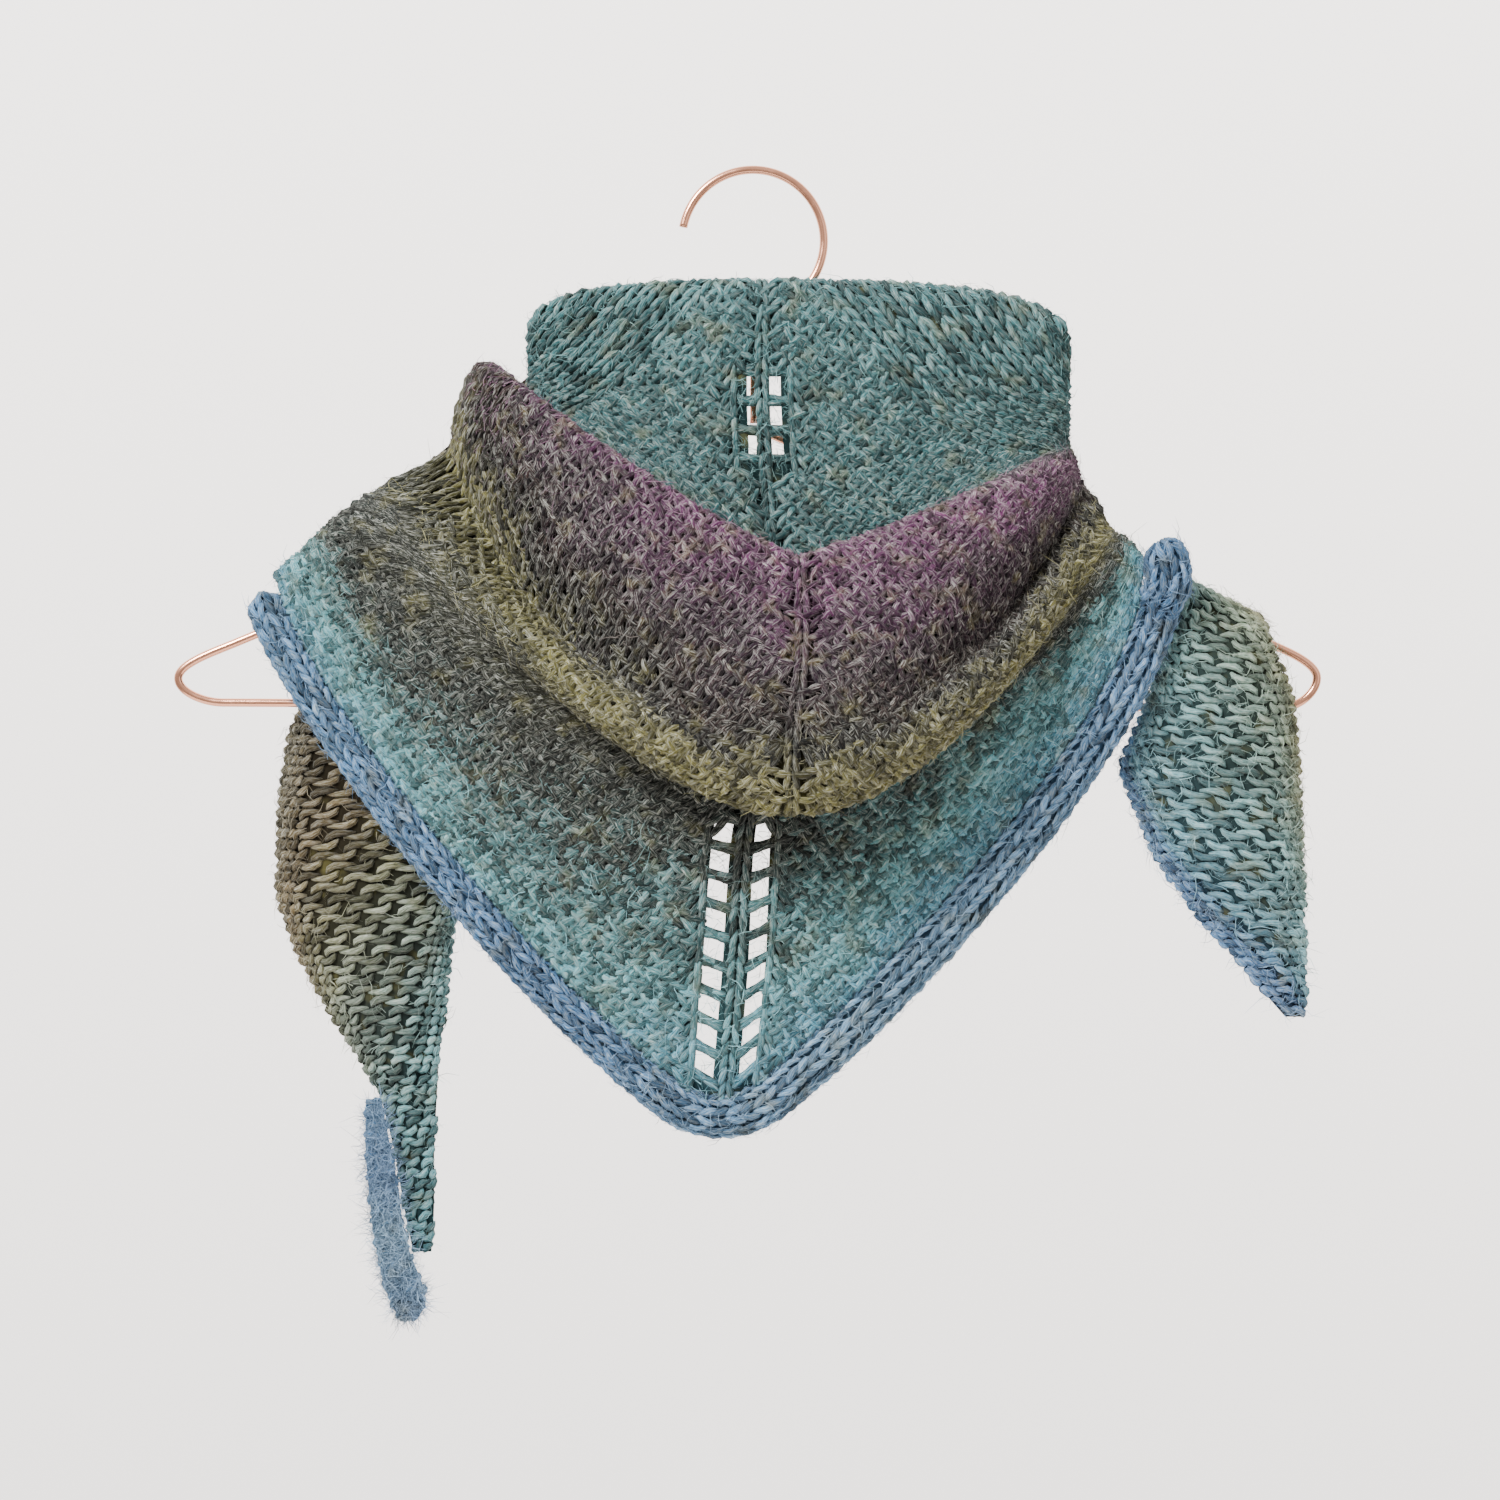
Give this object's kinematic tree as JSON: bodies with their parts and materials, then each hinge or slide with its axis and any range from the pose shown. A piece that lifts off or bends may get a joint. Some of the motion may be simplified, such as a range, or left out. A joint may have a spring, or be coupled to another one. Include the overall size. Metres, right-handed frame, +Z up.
{
  "type": "triangle shawl on a wire hanger",
  "caption": "Bulky hand-knit triangle shawl in striped wool, with eyelets along its spine, draped with a rolled collar over a copper-plated wire hanger that hangs by its hook",
  "frame": {"origin": "top inside of the hanger's hook, where it rests on the nail or rail that it hangs from", "axes": "X right across the shoulders as seen from the front, Z up, and the shawl's front faces -Y"},
  "size_m": [0.4302, 0.1113, 0.4341],
  "materials": {
    "teal_wool": "matte heathered bulky wool, slightly fuzzy",
    "purple_wool": "matte heathered bulky wool, slightly fuzzy",
    "olive_wool": "matte heathered bulky wool, slightly fuzzy",
    "green_wool": "matte heathered bulky wool, slightly fuzzy",
    "aqua_wool": "matte heathered bulky wool, slightly fuzzy",
    "blue_wool": "matte heathered bulky wool, slightly fuzzy",
    "copper_plated_wire": "satin copper plating on steel wire"
  },
  "bodies": {
    "root": {"collar": "teal_wool", "neck_fold": "purple_wool", "olive_fold": "olive_wool", "front_triangle": "aqua_wool", "edging": "blue_wool", "wing_left": "olive_wool", "wing_right": "olive_wool", "tail_left": "green_wool", "tail_left_tip": "blue_wool", "tail_right_over": "olive_wool", "tail_right": "aqua_wool", "hanger_hook": "copper_plated_wire", "hanger_arm_left": "copper_plated_wire", "hanger_arm_right": "copper_plated_wire", "hanger_bar": "copper_plated_wire"}
  },
  "joints": []
}
